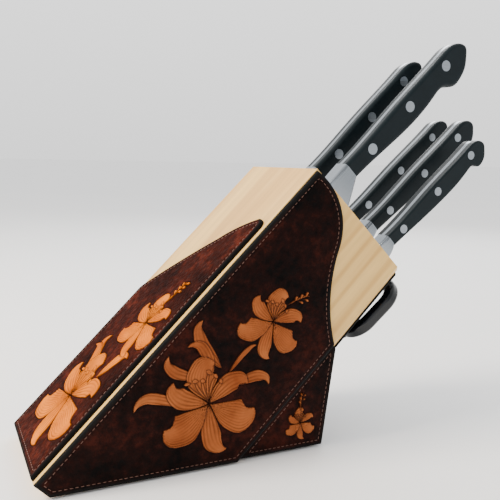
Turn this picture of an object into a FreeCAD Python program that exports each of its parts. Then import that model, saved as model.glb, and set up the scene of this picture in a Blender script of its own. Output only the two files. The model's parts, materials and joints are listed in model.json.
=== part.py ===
"""Slanted knife block, clad in leather, with five knives and a pair of shears.  Millimetres.

The block is a long laminated box that leans back on a glued foot.  Boards alternate with thin
spacer strips, and the gaps that the strips leave are the knife slots.  Leather panels are glued
to both sides, the slope, the underside and the foot.  The knives slide out along the slots and
the shears slide out of a flat slot in the foot.

Frame: +Z up, the block rests on Z = 0, +X is the side that the handles point to, and the origin
is the middle of the footprint.  Places on the block are given as (along, deep): the distance up
the slope from its low end, and the depth below the slope, square to it.
"""
import FreeCAD, Part
import math
import os
import Sketcher

BLOCK = {
    "tilt": 45.0,                 # lean of the box, degrees from the table
    "slope_long": 238.0,          # the sloping top, low end to slot face
    "box_deep": 93.5,             # slope to underside
    "box_wide": 90.0,             # across the wood
    "toe": 10.0,                  # square low end, before the base cuts it off
    "footprint": 170.5,           # along the table, low end to back of the foot
    "foot_lean": 8.7,             # the foot's back face leans out by this many degrees
    "foot_inset": 3.3,            # the foot's wood is narrower than the box on each side
    "pad": 2.0,                   # non-slip pad under everything
    "pad_inset": 2.0,
    "leather": 3.3,
    "edge_bevel": 4.5,            # bevel along the box's lower long edges
    "slot_gap": 4.2,              # width of a knife slot
    "slot_pitch": 15.0,           # from one slot plane to the next
    "upper_slot_top": 20.0,
    "upper_slot_bottom": 68.5,
    "lower_slot_top": 65.0,
    "lower_slot_bottom": 90.5,
    "shears_deep": 14.5,          # shears' plane below the underside
    "shears_slot_high": 5.6,
    "shears_slot_wide": 52.0,
    "shears_pivot_along": 171.0,
    "shears_steel": 2.0,
    "shears_grip": 9.0,
    "loop_round": 2.8,
    "panel_clear": 1.0,           # side panels stop this far above the table
    "slope_inset": 3.5,           # slope panel stops this far from the wood's long edges
    "under_end": 2.0,             # underside panel stops this far from the slot face
    "panel_gap": 0.3,             # gap where two leather panels meet
    "bevel_lip": 0.2,             # thickness left at a bevelled leather edge
    "slot_lip": 1.0,              # leather stands back this far from the shears' slot
    "rivet_proud": 0.15,
    "rivet_clear": 0.02,          # rivets are this much smaller in radius than their holes
    "spine_drop": 0.6,            # the blade's spine lies this far below the handle's
    "blade_thick": 2.2,
    "tang_thick": 3.0,
    "edge_thick": 0.4,
}

# One knife per slot.  plane counts slot planes from the block's middle, depth is the rivet line's
# depth at the slot face, droop is how far the handle sags in its slot, in degrees.  The rest is
# measured from the slot face along the knife, and up or down from the rivet line.
KNIVES = {
    "chef_knife": {
        "plane": -1, "depth": 30.0, "droop": 0.0, "blade_long": 200.0, "heel": 43.0,
        "bolster": 27.5, "first_rivet": 48.8, "rivet_pitch": 41.2, "butt": 155.0,
        "spine": 7.0, "front": 5.4, "belly": 10.8, "waist": 9.6, "hook": 15.8, "hook_long": 34.0,
        "grip_thick": 14.5, "bolster_drop": 28.0, "rivet": 3.7, "round": 2.6},
    "carving_knife": {
        "plane": 1, "depth": 27.5, "droop": 0.0, "blade_long": 190.0, "heel": 32.0,
        "bolster": 22.0, "first_rivet": 41.5, "rivet_pitch": 37.7, "butt": 138.0,
        "spine": 6.6, "front": 5.0, "belly": 9.6, "waist": 8.6, "hook": 13.8, "hook_long": 30.0,
        "grip_thick": 14.0, "bolster_drop": 22.0, "rivet": 3.5, "round": 2.4},
    "paring_knife": {
        "plane": -2, "depth": 78.4, "droop": 2.7, "blade_long": 90.0, "heel": 15.0,
        "bolster": 12.3, "first_rivet": 24.1, "rivet_pitch": 37.0, "butt": 112.8,
        "spine": 4.9, "front": 3.8, "belly": 7.7, "waist": 6.8, "hook": 11.2, "hook_long": 17.5,
        "grip_thick": 13.0, "bolster_drop": 12.5, "rivet": 2.9, "round": 1.2},
    "utility_knife": {
        "plane": 0, "depth": 78.2, "droop": 2.7, "blade_long": 120.0, "heel": 15.0,
        "bolster": 22.0, "first_rivet": 38.9, "rivet_pitch": 39.3, "butt": 136.0,
        "spine": 5.6, "front": 4.2, "belly": 8.4, "waist": 7.3, "hook": 12.2, "hook_long": 21.0,
        "grip_thick": 13.5, "bolster_drop": 12.5, "rivet": 3.0, "round": 2.0},
    "boning_knife": {
        "plane": 2, "depth": 78.4, "droop": 2.7, "blade_long": 130.0, "heel": 15.0,
        "bolster": 25.0, "first_rivet": 42.0, "rivet_pitch": 38.6, "butt": 138.0,
        "spine": 5.6, "front": 4.2, "belly": 8.4, "waist": 7.3, "hook": 12.2, "hook_long": 21.0,
        "grip_thick": 13.5, "bolster_drop": 12.5, "rivet": 3.0, "round": 2.0},
}

UPPER_PLANES = (-1, 1)
SLOT_PLANES = (-2, -1, 0, 1, 2)
RIVETS_PER_KNIFE = 3

doc = FreeCAD.newDocument("KnifeBlock")
sheet = doc.addObject("Spreadsheet::Sheet", "Dimensions")
nodes = []


# ---------------------------------------------------------------- sheet and expressions
def fill_sheet():
    """One row per driving dimension: its name in column A, its value in column B."""
    rows = dict(BLOCK)
    for knife, sizes in KNIVES.items():
        for key, size in sizes.items():
            rows[knife + "_" + key] = size
    for row, (alias, size) in enumerate(rows.items(), start=1):
        sheet.set("A%d" % row, alias)
        sheet.set("B%d" % row, str(size))
        sheet.setAlias("B%d" % row, alias)
    doc.recompute()


def dim(alias):
    """The expression that reads one cell."""
    return "Dimensions." + alias


def value(expression):
    """The number that an expression has now."""
    return float(sheet.evalExpression(expression))


def at_base(deep):
    """How far along the slope the flat base cuts the box at this depth."""
    return "((%s - %s) / tan(%s))" % (deep, dim("toe"), dim("tilt"))


def at_foot_back(deep, inset="0"):
    """How far along the foot's back face is at this depth, or a plane inset from that face."""
    lean = "(%s + %s)" % (dim("tilt"), dim("foot_lean"))
    low_along = "%s * cos(%s)" % (dim("footprint"), dim("tilt"))
    low_deep = "(%s * sin(%s) + %s)" % (dim("footprint"), dim("tilt"), dim("toe"))
    return "(%s + (%s - %s) * tan%s - %s / cos%s)" % (low_along, low_deep, deep, lean, inset, lean)


def on_base_at_back(inset="0"):
    """Depth at which the foot's back face, or a plane inset from it, meets the base."""
    return "((%s - %s / cos(%s)) * sin(%s) + %s)" % (
        dim("footprint"), inset, dim("foot_lean"), dim("tilt"), dim("toe"))


def block_point(along, deep):
    """Sketch coordinates (X, Z) of a place on the block."""
    tilt = dim("tilt")
    low_x = "-%s / 2 - %s * sin(%s)" % (dim("footprint"), dim("toe"), tilt)
    low_z = "%s + %s * cos(%s)" % (dim("pad"), dim("toe"), tilt)
    return ("%s + (%s) * cos(%s) + (%s) * sin(%s)" % (low_x, along, tilt, deep, tilt),
            "%s + (%s) * sin(%s) - (%s) * cos(%s)" % (low_z, along, tilt, deep, tilt))


def block_outline(*places):
    """Block places to sketch points.  A place (along, deep, middle) starts an arc through middle."""
    outline = []
    for place in places:
        point = block_point(place[0], place[1])
        if len(place) == 3:
            point = point + (block_point(*place[2]),)
        outline.append(point)
    return outline


# ---------------------------------------------------------------- sketches and features
def new_body(name):
    body = doc.addObject("PartDesign::Body", name)
    body.Label = name
    nodes.append(body)
    return body


def new_sketch(body, role, offset=0.0):
    """A sketch on one of the body's own origin planes, moved along its normal by offset."""
    sketch = body.newObject("Sketcher::SketchObject", body.Name + "Sketch")
    plane = [f for f in body.Origin.OriginFeatures if f.Role == role][0]
    sketch.AttachmentSupport = [(plane, "")]
    sketch.MapMode = "FlatFace"
    sketch.AttachmentOffset = FreeCAD.Placement(FreeCAD.Vector(0, 0, offset), FreeCAD.Rotation())
    return sketch


def pin_point(sketch, geometry, end, x, y):
    """Hold one point of the sketch at two expressions."""
    for kind, expression in (("DistanceX", x), ("DistanceY", y)):
        constraint = Sketcher.Constraint(kind, -1, 1, geometry, end, value(expression))
        index = sketch.addConstraint(constraint)
        sketch.setExpression("Constraints[%d]" % index, expression)


def arc_through(start, middle, end):
    """An arc by three points, and whether it runs from start to end (arcs run anticlockwise)."""
    circle = Part.Circle(start, middle, end)
    centre = circle.Center
    angles = [math.atan2(p.y - centre.y, p.x - centre.x) for p in (start, end)]
    cross = (middle - start).cross(end - middle).z
    forward = cross > 0
    if not forward:
        angles.reverse()
    plain = Part.Circle(centre, FreeCAD.Vector(0, 0, 1), circle.Radius)
    return Part.ArcOfCircle(plain, angles[0], angles[1]), forward


def add_outline(sketch, outline):
    """A closed outline of lines and arcs whose every point is bound to the sheet."""
    points = [FreeCAD.Vector(value(p[0]), value(p[1]), 0) for p in outline]
    ends = []
    for i, place in enumerate(outline):
        start = points[i]
        end = points[(i + 1) % len(points)]
        if len(place) == 2:
            edge = sketch.addGeometry(Part.LineSegment(start, end), False)
            ends.append((edge, 1, 2))
            continue
        middle = FreeCAD.Vector(value(place[2][0]), value(place[2][1]), 0)
        arc, forward = arc_through(start, middle, end)
        edge = sketch.addGeometry(arc, False)
        ends.append((edge, 1, 2) if forward else (edge, 2, 1))
        guide = sketch.addGeometry(Part.Point(middle), True)
        pin_point(sketch, guide, 1, place[2][0], place[2][1])
        sketch.addConstraint(Sketcher.Constraint("PointOnObject", guide, 1, edge))
    for i, (edge, first, last) in enumerate(ends):
        following = ends[(i + 1) % len(ends)]
        sketch.addConstraint(Sketcher.Constraint("Coincident", edge, last, following[0], following[1]))
        pin_point(sketch, edge, first, outline[i][0], outline[i][1])


def add_circle(sketch, x, y, radius):
    circle = Part.Circle(FreeCAD.Vector(value(x), value(y), 0), FreeCAD.Vector(0, 0, 1), value(radius))
    index = sketch.addGeometry(circle, False)
    pin_point(sketch, index, 3, x, y)
    size = sketch.addConstraint(Sketcher.Constraint("Radius", index, value(radius)))
    sketch.setExpression("Constraints[%d]" % size, radius)


def add_pad(body, sketch, length, both_ways=True):
    pad = body.newObject("PartDesign::Pad", body.Name + "Pad")
    pad.Profile = sketch
    pad.setExpression("Length", length)
    pad.SideType = "Symmetric" if both_ways else "One side"
    sketch.Visibility = False
    doc.recompute()
    return pad


def edges_where(shape, test):
    """Names of the edges whose every vertex passes the test."""
    names = []
    for i, edge in enumerate(shape.Edges, start=1):
        if all(test(vertex.Point) for vertex in edge.Vertexes):
            names.append("Edge%d" % i)
    return names


def slab(name, outline, thickness, centre):
    """A flat piece: an outline in the XZ plane, padded evenly about Y = centre."""
    body = new_body(name)
    sketch = new_sketch(body, "XZ_Plane")
    add_outline(sketch, outline)
    add_pad(body, sketch, thickness)
    body.Placement = FreeCAD.Placement(FreeCAD.Vector(0, value(centre), 0), FreeCAD.Rotation())
    return body


def dress_edges(body, kind, size, names):
    """A chamfer or a fillet on named edges of the body's last feature."""
    solid = body.Tip
    feature = body.newObject("PartDesign::" + kind, body.Name + kind)
    feature.Base = (solid, names)
    feature.setExpression("Size" if kind == "Chamfer" else "Radius", size)
    body.Tip = feature
    doc.recompute()
    return feature


# ---------------------------------------------------------------- the laminated box
def box_outline():
    top = dim("slope_long")
    deep = dim("box_deep")
    return block_outline(("0", "0"), (top, "0"), (top, deep), (at_base(deep), deep), ("0", dim("toe")))


def deep_of(point):
    """Depth below the slope of a point in the XZ plane."""
    tilt = math.radians(value(dim("tilt")))
    low = [value(part) for part in block_point("0", "0")]
    return (point.x - low[0]) * math.sin(tilt) - (point.z - low[1]) * math.cos(tilt)


def make_boards():
    """Six full boards, between and outside the five slot planes."""
    half_wide = value(dim("box_wide")) / 2
    half_gap = value(dim("slot_gap")) / 2
    pitch = value(dim("slot_pitch"))
    edges = [-half_wide]
    for plane in SLOT_PLANES:
        edges += [plane * pitch - half_gap, plane * pitch + half_gap]
    edges.append(half_wide)
    inner = "%s - %s" % (dim("slot_pitch"), dim("slot_gap"))
    outer = "%s / 2 - %d * %s - %s / 2" % (
        dim("box_wide"), SLOT_PLANES[-1], dim("slot_pitch"), dim("slot_gap"))
    count = len(SLOT_PLANES) + 1
    for i in range(count):
        low, high = edges[2 * i], edges[2 * i + 1]
        is_outer = i in (0, count - 1)
        board = slab("board_%d" % (i + 1), box_outline(), outer if is_outer else inner,
                     str((low + high) / 2))
        if is_outer:
            bevel_board(board, -1 if i == 0 else 1, (high - low) / 2)


def bevel_board(board, side, half_thick):
    """Bevel the outer lower long edge of an outer board."""
    box_deep = value(dim("box_deep"))

    def on_lower_edge(point):
        return abs(point.y - side * half_thick) < 0.01 and abs(deep_of(point) - box_deep) < 0.01

    names = edges_where(board.Tip.Shape, on_lower_edge)
    dress_edges(board, "Chamfer", dim("edge_bevel"), names)


def make_spacers():
    """Two strips in each slot plane: one above the slot and one below it."""
    for number, plane in enumerate(SLOT_PLANES, start=1):
        row = "upper" if plane in UPPER_PLANES else "lower"
        slot_top = dim(row + "_slot_top")
        slot_bottom = dim(row + "_slot_bottom")
        top = dim("slope_long")
        deep = dim("box_deep")
        centre = "%d * %s" % (plane, dim("slot_pitch"))
        above = block_outline(("0", "0"), (top, "0"), (top, slot_top),
                              (at_base(slot_top), slot_top), ("0", dim("toe")))
        below = block_outline((at_base(slot_bottom), slot_bottom), (top, slot_bottom),
                              (top, deep), (at_base(deep), deep))
        slab("spacer_%d_above" % number, above, dim("slot_gap"), centre)
        slab("spacer_%d_below" % number, below, dim("slot_gap"), centre)


# ---------------------------------------------------------------- the foot
def make_foot():
    """Two cheeks and a split core: the split is the flat slot for the shears."""
    deep = dim("box_deep")
    skin = dim("leather")
    slot_top = "(%s + %s - %s / 2)" % (deep, dim("shears_deep"), dim("shears_slot_high"))
    slot_bottom = "(%s + %s + %s / 2)" % (deep, dim("shears_deep"), dim("shears_slot_high"))
    low_deep = on_base_at_back(skin)
    low_corner = (at_base(low_deep), low_deep)

    whole = block_outline((at_base(deep), deep), (at_foot_back(deep, skin), deep), low_corner)
    upper = block_outline((at_base(deep), deep), (at_foot_back(deep, skin), deep),
                          (at_foot_back(slot_top, skin), slot_top), (at_base(slot_top), slot_top))
    lower = block_outline((at_base(slot_bottom), slot_bottom),
                          (at_foot_back(slot_bottom, skin), slot_bottom), low_corner)

    half_wide = "(%s / 2 - %s)" % (dim("box_wide"), dim("foot_inset"))
    cheek = "(%s - %s / 2)" % (half_wide, dim("shears_slot_wide"))
    middle = "(%s + %s / 2) / 2" % (half_wide, dim("shears_slot_wide"))
    slab("foot_cheek_near", whole, cheek, "-" + middle)
    slab("foot_cheek_far", whole, cheek, middle)
    slab("foot_core_upper", upper, dim("shears_slot_wide"), "0")
    slab("foot_core_lower", lower, dim("shears_slot_wide"), "0")


def make_base_pad():
    """Thin sheet under the box and the foot; the whole block rests on it."""
    inset = dim("pad_inset")
    half_long = "(%s / 2 - %s)" % (dim("footprint"), inset)
    outline = [("-" + half_long, "0"), (half_long, "0"),
               (half_long, dim("pad")), ("-" + half_long, dim("pad"))]
    slab("base_pad", outline, "%s - 2 * (%s + %s)" % (dim("box_wide"), dim("foot_inset"), inset), "0")


# ---------------------------------------------------------------- leather
NEAR_PEAK = ("236.8", "0.5")
NEAR_BULGE = ("233.4", "28.3")
WAVE_TURN = ("213.2", "47.4")
NEAR_HOLLOW = ("190.0", "64.2")
FAR_START = ("121.0", "0.5")
FAR_BULGE = ("139.0", "23.0")
FAR_TURN = ("158.0", "46.0")
FAR_HOLLOW = ("164.5", "66.0")
PANEL_START = "0.5"
SLOPE_NEAR_END = ("187.5", ("191.9", "-39.2"))
SLOPE_NEAR_WAVE = ("193.3", "-35.0", ("186.0", "-21.5"))
SLOPE_MID_WAVE = ("172.0", "-5.5", ("147.5", "18.8"))
SLOPE_FAR_WAVE = ("122.5", "40.0")
SLOPE_FAR_END = "119.0"


def panel_low_end():
    """The corners at the low end of a side panel: toe, and where the panel stops above the table."""
    clear = "(%s - %s)" % (dim("pad"), dim("panel_clear"))
    toe_deep = "(%s + %s / cos(%s))" % (dim("toe"), clear, dim("tilt"))
    return clear, toe_deep


def at_panel_base(deep):
    """How far along the bottom edge of a side panel is at this depth."""
    clear, toe_deep = panel_low_end()
    return "((%s - %s) / tan(%s))" % (deep, toe_deep, dim("tilt"))


def make_side_panels():
    """Leather on the two sides of the box, with a waved upper edge."""
    toe_deep = panel_low_end()[1]
    seam = "(%s - %s)" % (dim("box_deep"), dim("edge_bevel"))
    low_end = [(at_panel_base(seam), seam), ("0", toe_deep), ("0", "0")]
    near = block_outline((NEAR_PEAK[0], NEAR_PEAK[1], NEAR_BULGE), WAVE_TURN + (NEAR_HOLLOW,),
                         (at_foot_back(dim("box_deep")), seam), *low_end)
    far = block_outline((FAR_START[0], FAR_START[1], FAR_BULGE), FAR_TURN + (FAR_HOLLOW,),
                        (at_foot_back(dim("box_deep")), seam), *low_end)
    outside = "(%s + %s) / 2" % (dim("box_wide"), dim("leather"))
    slab("side_leather_near", near, dim("leather"), "-" + outside)
    slab("side_leather_far", far, dim("leather"), outside)


def make_foot_panels():
    """Leather on the sides of the foot; its upper edge is bevelled to lie on the box's bevel."""
    seam = "(%s - %s + %s)" % (dim("box_deep"), dim("edge_bevel"), dim("panel_gap"))
    clear = panel_low_end()[0]
    low_deep = "(%s + %s / cos(%s))" % (on_base_at_back(), clear, dim("tilt"))
    outline = block_outline((at_panel_base(seam), seam), (at_foot_back(dim("box_deep")), seam),
                            (at_foot_back(dim("box_deep")), dim("box_deep")),
                            (at_panel_base(low_deep), low_deep))
    offset = "(%s / 2 - %s + %s / 2)" % (dim("box_wide"), dim("foot_inset"), dim("leather"))
    for side, name in ((-1, "foot_leather_near"), (1, "foot_leather_far")):
        panel = slab(name, outline, dim("leather"), "%d * %s" % (side, offset))
        inner = -side * value(dim("leather")) / 2
        seam_deep = value(seam)
        names = edges_where(panel.Tip.Shape, lambda p: abs(p.y - inner) < 0.01
                            and abs(deep_of(p) - seam_deep) < 0.01)
        dress_edges(panel, "Chamfer", "%s - %s" % (dim("leather"), dim("bevel_lip")), names)


def make_underside_panel():
    """Leather under the overhang, from the foot to just short of the slot face."""
    deep = dim("box_deep")
    lower = "(%s + %s)" % (deep, dim("leather"))
    high = "(%s - %s)" % (dim("slope_long"), dim("under_end"))
    low = "(%s + %s)" % (at_foot_back(deep), dim("panel_gap"))
    outline = block_outline((low, deep), (high, deep), (high, lower), (low, lower))
    slab("underside_leather", outline, "%s - 2 * %s" % (dim("box_wide"), dim("edge_bevel")), "0")


def make_foot_back_panels():
    """Two bands of leather on the foot's back face, above and below the shears' slot."""
    deep = dim("box_deep")
    skin = dim("leather")
    middle = "%s + %s" % (deep, dim("shears_deep"))
    half_open = "(%s / 2 + %s)" % (dim("shears_slot_high"), dim("slot_lip"))
    slot_top = "(%s - %s)" % (middle, half_open)
    slot_bottom = "(%s + %s)" % (middle, half_open)
    upper_start = "(%s + %s)" % (deep, dim("panel_gap"))
    outer_low = on_base_at_back()
    inner_low = on_base_at_back(skin)
    wide = "%s - 2 * %s" % (dim("box_wide"), dim("foot_inset"))
    upper = block_outline((at_foot_back(upper_start, skin), upper_start),
                          (at_foot_back(upper_start), upper_start),
                          (at_foot_back(slot_top), slot_top), (at_foot_back(slot_top, skin), slot_top))
    lower = block_outline((at_foot_back(slot_bottom, skin), slot_bottom),
                          (at_foot_back(slot_bottom), slot_bottom),
                          (at_base(outer_low), outer_low), (at_base(inner_low), inner_low))
    slab("foot_back_leather_upper", upper, wide, "0")
    slab("foot_back_leather_lower", lower, wide, "0")


def make_slope_panel():
    """Leather on the slope, with a waved upper edge that leaves the upper slope bare."""
    edge = "(%s / 2 - %s)" % (dim("box_wide"), dim("slope_inset"))
    body = new_body("slope_leather")
    sketch = new_sketch(body, "XY_Plane")
    add_outline(sketch, [
        (PANEL_START, "-" + edge), (SLOPE_NEAR_END[0], "-" + edge, SLOPE_NEAR_END[1]),
        SLOPE_NEAR_WAVE, SLOPE_MID_WAVE, SLOPE_FAR_WAVE,
        (SLOPE_FAR_END, edge), (PANEL_START, edge)])
    add_pad(body, sketch, dim("leather"), both_ways=False)
    tilt = value(dim("tilt"))
    low = [value(part) for part in block_point("0", "0")]
    body.Placement = FreeCAD.Placement(FreeCAD.Vector(low[0], 0, low[1]),
                                       FreeCAD.Rotation(FreeCAD.Vector(0, -1, 0), tilt))


# ---------------------------------------------------------------- knives
# The handle's end: how far back from the butt, as a share of the hook's length, and how far
# down: first from the spine, then as shares of the hook's depth, then up its step to the belly.
BUTT_ABOVE = ((0.62, 0.0), (0.24, 0.05), (0.05, 0.26))
BUTT_BELOW = ((0.02, 0.12), (0.135, 0.50), (0.30, 0.80), (0.54, 0.985))
HOOK_STEP = ((0.80, 0.93), (0.91, 0.48), (1.02, 0.05), (1.30, 0.0))


def handle_points(knife):
    """The handle's side outline from the bolster, round the butt and back under the belly."""
    size = {key: value(dim(knife + "_" + key)) for key in KNIVES[knife]}
    start, butt = size["bolster"], size["butt"]
    spine, hook, waist = size["spine"], size["hook"], size["waist"]
    run, end = butt - start, size["hook_long"]
    places = [(start, spine), (start + 0.45 * run, spine + 0.2)]
    places += [(butt - back * end, spine - fall * (spine + hook)) for back, fall in BUTT_ABOVE]
    places += [(butt - back * end, -share * hook) for back, share in BUTT_BELOW]
    places += [(butt - back * end, -waist - share * (hook - waist)) for back, share in HOOK_STEP]
    places += [(start + 0.50 * run, -size["belly"]),
               (start + 0.23 * run, -0.5 * (size["belly"] + size["front"])), (start, -size["front"])]
    return [FreeCAD.Vector(x, z, 0) for x, z in places]


def add_handle_outline(sketch, knife):
    """The handle's outline: one spline, closed by a line at the bolster."""
    points = handle_points(knife)
    curve = Part.BSplineCurve()
    curve.interpolate(points)
    spline = sketch.addGeometry(curve, False)
    line = sketch.addGeometry(Part.LineSegment(points[-1], points[0]), False)
    sketch.addConstraint(Sketcher.Constraint("Coincident", spline, 2, line, 1))
    sketch.addConstraint(Sketcher.Constraint("Coincident", line, 2, spline, 1))
    for number in range(RIVETS_PER_KNIFE):
        add_circle(sketch, rivet_along(knife, number), "0", dim(knife + "_rivet"))


def rivet_along(knife, number):
    return "%s + %d * %s" % (dim(knife + "_first_rivet"), number, dim(knife + "_rivet_pitch"))


def place_knife(body, knife):
    """Put a piece made in the knife's own frame into its slot."""
    tilt = value(dim("tilt")) - value(dim(knife + "_droop"))
    mouth = block_point(dim("slope_long"), dim(knife + "_depth"))
    across = value("%s * %s" % (dim(knife + "_plane"), dim("slot_pitch")))
    body.Placement = FreeCAD.Placement(FreeCAD.Vector(value(mouth[0]), across, value(mouth[1])),
                                       FreeCAD.Rotation(FreeCAD.Vector(0, -1, 0), tilt))


# The blade's shape as shares of its length and of its depth at the heel.
HEEL_OVERLAP = "1"
TIP_DROP = "0.30"
EDGE_MIDDLE = "0.6"
EDGE_RISE = "0.16"
SPINE_MIDDLE = "0.78"
SPINE_FALL = "0.07"
SPINE_TURN = "0.5"
# The bolster rests this far above the slot face and swells from its face to the grip.
BOLSTER_REST = 0.4
BOLSTER_FACE = "0.72"
BOLSTER_WAIST = "0.97"
BOLSTER_CORNER = "0.16"
BOLSTER_DIP = "0.2"
BOLSTER_FRONT = "0.62"
BOLSTER_DROP = "0.36"
# The grind starts this far below the handle's spine and is cut wider than the blade.
GRIND_START = "2"
GRIND_OVER = "1"
TIP_OVER = "5"


def rounded_section(thick, top, bottom):
    """A bolster's cross-section: an upright rectangle with its four corners rounded."""
    half = "((%s) / 2)" % thick
    radius = "(%s * (%s))" % (BOLSTER_CORNER, thick)
    side = "(%s - %s)" % (half, radius)
    cut = "(%s * (1 - cos(45)))" % radius
    bulge = "(%s - %s)" % (half, cut)
    high = "(%s - %s)" % (top, radius)
    low = "(%s + %s)" % (bottom, radius)
    at_top = "(%s - %s)" % (top, cut)
    at_bottom = "(%s + %s)" % (bottom, cut)
    return [("-" + side, bottom), (side, bottom, (bulge, at_bottom)), (half, low),
            (half, high, (bulge, at_top)), (side, top), ("-" + side, top, ("-" + bulge, at_top)),
            ("-" + half, high), ("-" + half, low, ("-" + bulge, at_bottom))]


def make_blade(knife):
    """Blade, bolster and full tang: one forging."""
    body = new_body(knife + "_blade")
    spine = "%s - %s" % (dim(knife + "_spine"), dim("spine_drop"))
    edge = "%s - %s" % (spine, dim(knife + "_heel"))
    tip = "-" + dim(knife + "_blade_long")
    blade = new_sketch(body, "XZ_Plane")
    heel = dim(knife + "_heel")
    tip_deep = "%s - %s * %s" % (spine, TIP_DROP, heel)
    edge_middle = ("%s * %s" % (EDGE_MIDDLE, tip), "%s + %s * %s" % (edge, EDGE_RISE, heel))
    spine_middle = ("%s * %s" % (SPINE_MIDDLE, tip), "%s - %s * %s" % (spine, SPINE_FALL, heel))
    add_outline(blade, [
        (HEEL_OVERLAP, spine), (HEEL_OVERLAP, edge), ("-" + HEEL_OVERLAP, edge, edge_middle),
        (tip, tip_deep, spine_middle), ("%s * %s" % (SPINE_TURN, tip), spine)])
    add_pad(body, blade, dim("blade_thick"))
    grind_blade(body, knife)

    tang = new_sketch(body, "XZ_Plane")
    add_handle_outline(tang, knife)
    tang_pad = add_pad(body, tang, dim("tang_thick"))
    tang_pad.Label = knife + "_tang"

    grip = dim(knife + "_grip_thick")
    drop = dim(knife + "_bolster_drop")
    front = dim(knife + "_front")
    top = dim(knife + "_spine")
    end = value(dim(knife + "_bolster"))
    waist_bottom = "-%s * %s - %s * %s" % (BOLSTER_FRONT, front, BOLSTER_DROP, drop)
    stations = [
        (BOLSTER_REST, "%s * %s" % (BOLSTER_FACE, grip), spine, "%s - %s" % (spine, drop)),
        (end / 2, "%s * %s" % (BOLSTER_WAIST, grip), "%s - %s" % (top, BOLSTER_DIP), waist_bottom),
        (end, grip, top, "-" + front)]
    sections = []
    for along, thick, top, bottom in stations:
        section = new_sketch(body, "YZ_Plane", along)
        add_outline(section, rounded_section(thick, top, bottom))
        sections.append(section)
    bolster = body.newObject("PartDesign::AdditiveLoft", knife + "_bolster")
    bolster.Profile = sections[0]
    bolster.Sections = sections[1:]
    doc.recompute()
    place_knife(body, knife)


def grind_blade(body, knife):
    """Take a long wedge off each side of the blade, so that it narrows to its edge."""
    before = body.Shape.Volume
    thick = "%s / 2" % dim("blade_thick")
    edge_thick = "%s / 2" % dim("edge_thick")
    top = "%s - %s" % (dim(knife + "_spine"), GRIND_START)
    below = "%s - %s - %s - %s" % (
        dim(knife + "_spine"), dim("spine_drop"), dim(knife + "_heel"), GRIND_OVER)
    grind = new_sketch(body, "YZ_Plane")
    for side in ("", "-"):
        add_outline(grind, [(side + "(%s)" % thick, top), (side + "(%s + %s)" % (thick, GRIND_OVER), below),
                            (side + "(%s)" % edge_thick, below)])
    pocket = body.newObject("PartDesign::Pocket", body.Name + "Grind")
    pocket.Profile = grind
    pocket.setExpression("Length", "%s + %s" % (dim(knife + "_blade_long"), TIP_OVER))
    doc.recompute()
    if body.Shape.Volume > before - 1:
        pocket.Reversed = True
        doc.recompute()
    if body.Shape.Volume > before - 1:
        raise RuntimeError("the grind took nothing off " + body.Label)


def make_scales(knife):
    """The two handle slabs, riveted to the tang, with rounded outer edges."""
    thickness = "(%s - %s) / 2" % (dim(knife + "_grip_thick"), dim("tang_thick"))
    start = value(dim(knife + "_bolster"))
    for side, name in ((-1, "_scale_near"), (1, "_scale_far")):
        body = new_body(knife + name)
        sketch = new_sketch(body, "XZ_Plane", -side * value(dim("tang_thick")) / 2)
        add_handle_outline(sketch, knife)
        pad = add_pad(body, sketch, thickness, both_ways=False)
        if side * body.Shape.BoundBox.YMax < 0 or side * body.Shape.BoundBox.Center.y < 0:
            pad.Reversed = True
            doc.recompute()
        outer = side * value(dim(knife + "_grip_thick")) / 2
        rim = []
        for i, edge in enumerate(body.Tip.Shape.Edges, start=1):
            box = edge.BoundBox
            on_face = abs(box.YMin - outer) < 0.01 and abs(box.YMax - outer) < 0.01
            if on_face and box.XLength > 0.5 * (value(dim(knife + "_butt")) - start):
                rim.append("Edge%d" % i)
        dress_edges(body, "Fillet", dim(knife + "_round"), rim)
        place_knife(body, knife)


def make_rivets(knife):
    """Three rivets through scales and tang, one group of separate solids."""
    grip = dim(knife + "_grip_thick")
    length = "%s + 2 * %s" % (grip, dim("rivet_proud"))
    rivets = []
    for number in range(RIVETS_PER_KNIFE):
        rivet = doc.addObject("Part::Cylinder", "%s_rivet_%d" % (knife, number + 1))
        rivet.setExpression("Radius", "%s - %s" % (dim(knife + "_rivet"), dim("rivet_clear")))
        rivet.setExpression("Height", length)
        rivet.Placement = FreeCAD.Placement(
            FreeCAD.Vector(value(rivet_along(knife, number)), -value(length) / 2, 0),
            FreeCAD.Rotation(FreeCAD.Vector(1, 0, 0), -90))
        rivets.append(rivet)
    group = doc.addObject("Part::Compound", knife + "_rivets")
    group.Links = rivets
    group.Label = knife + "_rivets"
    doc.recompute()
    place_knife(group, knife)
    nodes.append(group)


# ---------------------------------------------------------------- shears
LOOP_LOW = (33.0, 18.4)
LOOP_HIGH = (49.0, 20.2)
LOOP_OUTER = 17.4
LOOP_INNER = 9.4
SCREW_HOLE = 3.0
SCREW_CLEAR = 0.05
SCREW_HEAD = 4.6
SCREW_HEAD_HIGH = 1.2
HALF_GAP = 0.05
SINK = 0.2
NECK_STEP = 2.4
# Outlines of the +Y half, pivot at the origin, handle towards +X.
SHEAR_BLADE = (
    (-63, 0.6), (-62.5, -1.0, (-35, -7.4)), (-8, -9.6, (0.5, -9.0)), (8, -3.0), (13, 1.6),
    (26, 3.4), (27, 8.6), (12, 9.6), (4, 8.8, (-2, 7.4)), (-7, 3.0))
SHEAR_NECK = ((10.9, 0.8), (27.0, 1.6), (20.0, 24.0), (9.0, 10.5))


def place_shears(shape_object):
    """Put a piece made in the shears' own frame, pivot at its origin, into the foot's slot."""
    pivot = block_point(dim("shears_pivot_along"), "%s + %s" % (dim("box_deep"), dim("shears_deep")))
    shape_object.Placement = FreeCAD.Placement(
        FreeCAD.Vector(value(pivot[0]), 0, value(pivot[1])),
        FreeCAD.Rotation(FreeCAD.Vector(0, -1, 0), value(dim("tilt"))))


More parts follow.
